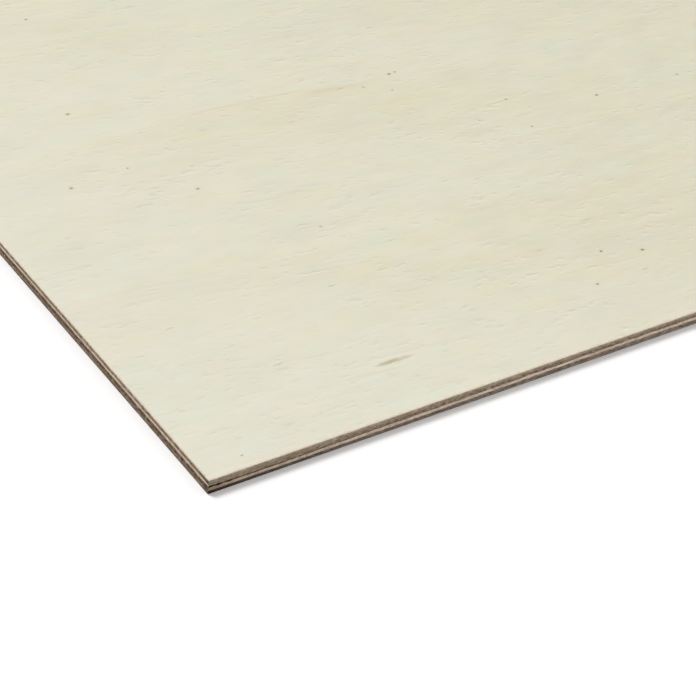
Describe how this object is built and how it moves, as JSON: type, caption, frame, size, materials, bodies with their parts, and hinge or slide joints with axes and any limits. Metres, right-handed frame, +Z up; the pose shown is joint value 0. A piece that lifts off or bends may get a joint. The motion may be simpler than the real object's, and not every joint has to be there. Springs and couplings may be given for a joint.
{
  "type": "plywood sheet",
  "caption": "Flat rectangular plywood panel of glued cross-grained birch veneers, for lining, shelving, boxes and furniture backs.",
  "frame": {"origin": "centre of the underside, where the panel lies on the floor", "axes": "+X along the panel's long side and the grain of its face, +Y across its width, +Z up out of the good face"},
  "size_m": [1.2, 0.6, 0.0065],
  "materials": {
    "face_birch": "pale sanded birch veneer, bare, with fine grain lines along X and a few pin knots",
    "back_birch": "pale sanded birch veneer of the lower grade, bare, grain along X",
    "crossband_birch": "sawn birch veneer with its grain along Y, brown where it is cut across and tan where it is cut along",
    "core_birch": "sawn birch veneer with its grain along X, tan where it is cut along and brown where it is cut across"
  },
  "bodies": {
    "root": {"back_veneer": "back_birch", "lower_crossband": "crossband_birch", "core_veneer": "core_birch", "upper_crossband": "crossband_birch", "face_veneer": "face_birch"}
  },
  "joints": []
}
